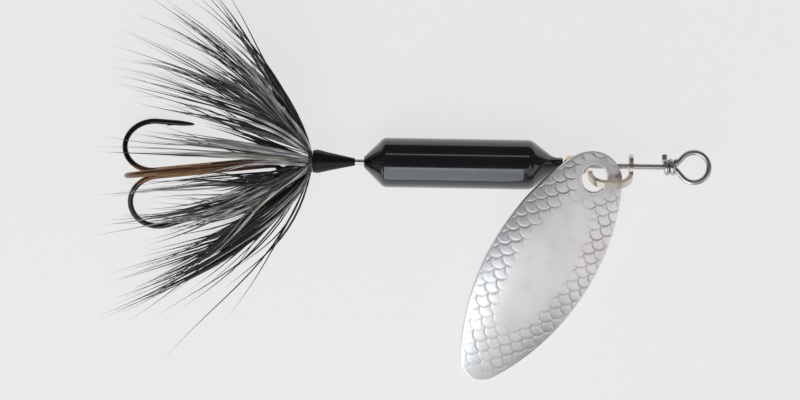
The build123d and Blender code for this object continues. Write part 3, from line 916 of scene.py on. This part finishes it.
def barbPoints(path, outward, along):
    # a sliver cut up from the inside of the arm: a thin wedge that points back at the bend
    lean = np.radians(hook["lean"])
    forward = -along * np.cos(lean) - outward * np.sin(lean)
    inward = -outward * np.cos(lean) + along * np.sin(lean)
    foot = path[-1] - forward * (hook["point"] + hook["barbBehind"] - hook["barbFoot"])
    ridgeRise, rootRise = hook["barbSeat"]
    t = np.linspace(0, 1, 9)[:, None]
    ridge = foot - forward * (hook["barbFoot"] + hook["barbLength"]) * t
    ridge = ridge + inward * (ridgeRise + hook["barbHeight"] * t**1.3)
    root = foot - forward * (hook["barbFoot"] + 0.55 * hook["barbLength"]) * t + inward * rootRise
    slim = np.cross(forward, inward) * hook["barbWidth"] * (1 - 0.8 * t)
    points = np.stack([ridge + slim * 0.4, ridge - slim * 0.4, root - slim, root + slim], axis=1)
    ends = [points[k].mean(axis=0, keepdims=True).repeat(4, axis=0)[None] for k in (0, -1)]
    points = np.concatenate([ends[0], points, ends[1]])
    return points, gridQuads(len(points), 4, closeColumns=True)


def singleHook():
    # the third hook stands straight up from the shank's underside
    path, outward, along = bendPath(0, hook["thirdStart"])
    line = evenPath(path, hook["step"])
    return [tube(line, pointRadius(line), hook["sides"]), barbPoints(line, outward, along)]


def doubleHook():
    # one wire: point, bend and shank, round the eye, and back down the second shank to its point
    along, side, up = hookAxes()[:3]
    eyeX = hook["eye"] - wire["radius"] - hook["radius"] - hook["play"]
    shankX = eyeX + hook["eye"] + hook["shankStart"]
    first, firstOut, along = bendPath(hook["doubleRolls"][0], shankX)
    second, secondOut, along = bendPath(hook["doubleRolls"][1], shankX)
    angle = np.linspace(hook["eyeGap"], 2 * np.pi - hook["eyeGap"], 60)[:, None]
    ring = hookPivot() + (eyeX + hook["eye"] * np.cos(angle)) * along + hook["eye"] * np.sin(angle) * side
    ring = ring - up * hook["offset"] / 2 * np.abs(np.cos(angle / 2)) ** 4
    path = evenPath(np.concatenate([first[::-1], ring, second]), hook["step"])
    radius = np.minimum(pointRadius(path), pointRadius(path[::-1])[::-1])
    barbs = [barbPoints(first, firstOut, along), barbPoints(second, secondOut, along)]
    return [tube(path, radius, hook["sides"]), *barbs]


def hookPiece(name, parts):
    # the shank value is 1 near the shank's axis, out to the brown lacquer's reach, and falls to 0 beyond it
    points, quads = joinParts(parts)
    along = hookAxes()[0]
    offset = points - hookPivot()
    axial = offset @ along
    radial = np.linalg.norm(offset - axial[:, None] * along, axis=1)
    shank = np.clip((hook["brown"][name] - radial) / hook["brownFade"], 0, 1)
    shank = shank * np.clip((axial - hook["brownFrom"]) / hook["brownRise"], 0, 1)
    return makePiece(name, points, quads, values={"shank": shank})


doublePiece = hookPiece("doubleHook", doubleHook())
dress(doublePiece, "hook", "hook_bronze", bronze, "hook_double")
singlePiece = hookPiece("thirdHook", singleHook())
dress(singlePiece, "hook", "hook_bronze", bronze, "hook_single")
print("hook made")

# the clevis and the brazing metal keep their own shapes
for node, material in (("clevis", clevisPlate), ("hook_braze", brazeMetal)):
    held = frame["nodes"][node]
    held.data.materials.clear()
    held.data.materials.append(material)

hackle = {
    # one value for each bunch, from one side of the lure over the top to the other side
    "headings": (92, 82, 70, 58, 42, 28, 8, -14, -30, -48, -62, -76, -86, -93),
    "spreads": (52, 36, 55, 27, 45, 60, 40, 52, 30, 47, 24, 57, 36, 48),
    "counts": (16, 28, 16, 24, 24, 14, 32, 20, 34, 15, 34, 3, 84, 6),
    "clumps": (6, 9, 6, 8, 8, 5, 11, 8, 10, 6, 10, 3, 15, 4),
    # pale: share of pale barbs in each bunch, partly grizzly barbs and partly painted sheen
    "pale": (0.12, 0.1, 0.15, 0.12, 0.2, 0.3, 0.5, 0.4, 0.5, 0.2, 0.4, 0.0, 0.1, 0.1),
    "curls": (13, 16, 14, 16, 16, 18, 10, 14, 14, 18, 16, 12, 20, 20),
    "jitters": (8, 8, 8, 9, 9, 9, 9, 9, 9, 7, 8, 8, 4.5, 6),
    # numbers of the bunches that the hook meets as it swings, which are left unattached to the shaft
    "bent": (1, 2, 4, 7, 9, 10, 11, 13),
    "rootX": -34.6, "rootDepth": 0.25, "rootRadius": 0.82, "rootArc": 330, "rootJitter": 7,
    "length": 26.25, "evenness": (4.5, 2.0), "shortest": 0.72, "knee": 0.45, "narrowest": 8, "widest": 60,
    "clumpJitter": 1.3, "leanJitter": 0.7, "curlJitter": (4.0, 2.0), "sway": 0.6, "swayBeats": (1.0, 2.4),
    "waver": 0.15, "waverBeats": (0.8, 1.7), "shrink": (0.9, 1.0), "floorGap": (0.12, 0.5), "floorEase": 0.25,
    # grizzlyAndSheenExtra and grizzlyAndSheenTones thicken and lighten the pale barbs, which are partly
    # grizzly and partly painted sheen
    "thickness": 0.1, "thickRange": (0.55, 1.45), "grizzlyAndSheenExtra": 0.5, "grizzlyAndSheenTones": (0.5, 1.0),
    "darkTones": (0, 0.04), "steps": 14, "sides": 3,
}


def scatter(clump, spread, within):
    # one value for each barb: its clump's own offset and a little of its own
    centres = rng.normal(0, spread, clump.max() + 1)
    return centres[clump] + rng.normal(0, within, len(clump))


def leaning(angle, outward):
    # directions at an angle from straight back, towards outward
    return np.cos(angle)[:, None] * np.array([-1.0, 0, 0]) + np.sin(angle)[:, None] * outward


def barbRoots(index, clump):
    # places on a ring round the wire: y = r sin a, z = r cos a
    share = (index + 0.5) / len(hackle["headings"])
    around = np.radians(hackle["rootArc"] * (0.5 - share) + rng.normal(0, hackle["rootJitter"], len(clump)))
    return np.stack([
        hackle["rootX"] + rng.uniform(0, hackle["rootDepth"], len(clump)),
        hackle["rootRadius"] * np.sin(around),
        hackle["rootRadius"] * np.cos(around),
    ], axis=1)


def bentLines(index, clump, root, t):
    # root * (1 - t)^2 + knee * 2 t (1 - t) + tip * t^2; the knee lies steeper than the tip by the curl
    jitter, within = hackle["jitters"][index], hackle["clumpJitter"]
    heading = np.radians(hackle["headings"][index] + scatter(clump, jitter, within))
    lean = hackle["spreads"][index] + scatter(clump, hackle["leanJitter"] * jitter, within)
    spread = np.radians(np.clip(lean, hackle["narrowest"], hackle["widest"]))
    curl = np.radians(hackle["curls"][index] + scatter(clump, *hackle["curlJitter"]))
    reach = rng.beta(*hackle["evenness"], clump.max() + 1)[clump]
    reach = reach * rng.uniform(hackle["shortest"], 1.0, len(clump))
    length = (hackle["length"] * reach)[:, None]
    outward = np.stack([0 * heading, np.sin(heading), np.cos(heading)], axis=1)
    tip = root + leaning(spread, outward) * length
    knee = root + leaning(spread + curl, outward) * length * hackle["knee"]
    return root[:, None] * (1 - t) ** 2 + knee[:, None] * 2 * t * (1 - t) + tip[:, None] * t**2


def waves(clump, t):
    # direction * sin(pi t beat) * t, once for each clump and once more weakly for each barb
    count, clumps = len(clump), clump.max() + 1
    beat = rng.uniform(*hackle["swayBeats"], (clumps, 1, 1))[clump]
    sway = rng.normal(0, 1, (clumps, 1, 3))[clump] * np.sin(np.pi * t * beat) * t
    waver = rng.normal(0, 1, (count, 1, 3))
    waver = waver * np.sin(np.pi * t * rng.uniform(*hackle["waverBeats"], (count, 1, 1))) * t
    return waver * hackle["waver"] + sway * hackle["sway"]


def heldInside(path, root):
    # each line shrunk towards its root until it fits the frame's box, then eased up off the floor
    low, high = np.array(cadBox[0]) / mm, np.array(cadBox[1]) / mm
    low[2] = -np.inf
    offset = path - root[:, None]
    share = np.minimum(
        ((low - root) / np.minimum(offset.min(axis=1), -1e-6)).min(axis=1),
        ((high - root) / np.maximum(offset.max(axis=1), 1e-6)).min(axis=1),
    ) * rng.uniform(*hackle["shrink"], len(path))
    path = root[:, None] + offset * np.minimum(share, 1.0)[:, None, None]
    gap, spare = hackle["floorGap"]
    lowest = floorHeight / mm + gap + rng.uniform(0, spare, (len(path), 1))
    ease = hackle["floorEase"]
    path[..., 2] = lowest + ease * np.logaddexp(0, (path[..., 2] - lowest) / ease)
    return path


def tuftPoints(index):
    # three-sided barbs along their lines, thickest near the middle and closed to a point at both ends
    count, steps, sides = hackle["counts"][index], hackle["steps"], hackle["sides"]
    clump = np.arange(count) % hackle["clumps"][index]
    t = np.linspace(0, 1, steps)[None, :, None]
    root = barbRoots(index, clump)
    path = bentLines(index, clump, root, t)
    path = heldInside(path + waves(clump, t), root)
    along = unit(np.gradient(path, axis=1))
    side = unit(np.cross(along, unit(rng.normal(0, 1, (count, 1, 3)))))
    up = np.cross(side, along)
    # barbs picked here are drawn pale: partly grizzly barbs, partly painted sheen on black ones
    light = (rng.random(clump.max() + 1) < hackle["pale"][index])[clump]
    thick = hackle["thickness"] * (rng.uniform(*hackle["thickRange"], count) + hackle["grizzlyAndSheenExtra"] * light)
    taper = np.sin(np.pi * np.clip(t * 0.62 + 0.2, 0, 1)) ** 1.2 * (1 - t**3) * np.clip(t * 30, 0, 1)
    angle = np.linspace(0, 2 * np.pi, sides, endpoint=False)[:, None]
    ring = np.cos(angle) * side[:, :, None] + np.sin(angle) * up[:, :, None]
    points = path[:, :, None] + ring * thick[:, None, None, None] * taper[..., None]
    pale, dark = rng.uniform(*hackle["grizzlyAndSheenTones"], count), rng.uniform(*hackle["darkTones"], count)
    tone = np.where(light, pale, dark)
    shape = (count, steps, sides)
    values = {
        "tone": np.broadcast_to(tone[:, None, None], shape),
        "along": np.broadcast_to(t, shape),
        "tint": np.broadcast_to(rng.random(count)[:, None, None], shape),
    }
    cells = gridQuads(steps, sides, closeColumns=True)
    quads = (np.arange(count)[:, None, None] * steps * sides + cells).reshape(-1, 4)
    return points, quads, values


for index in range(len(hackle["headings"])):
    tuft = makePiece(f"hackleBarbs{index + 1}", *tuftPoints(index))
    bent = index + 1 in hackle["bent"]
    dress(tuft, None if bent else "shaft", "hackle_black", barb, f"hackle_tuft_{index + 1}")
    if bent:
        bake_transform(tuft)
print("hackle made")
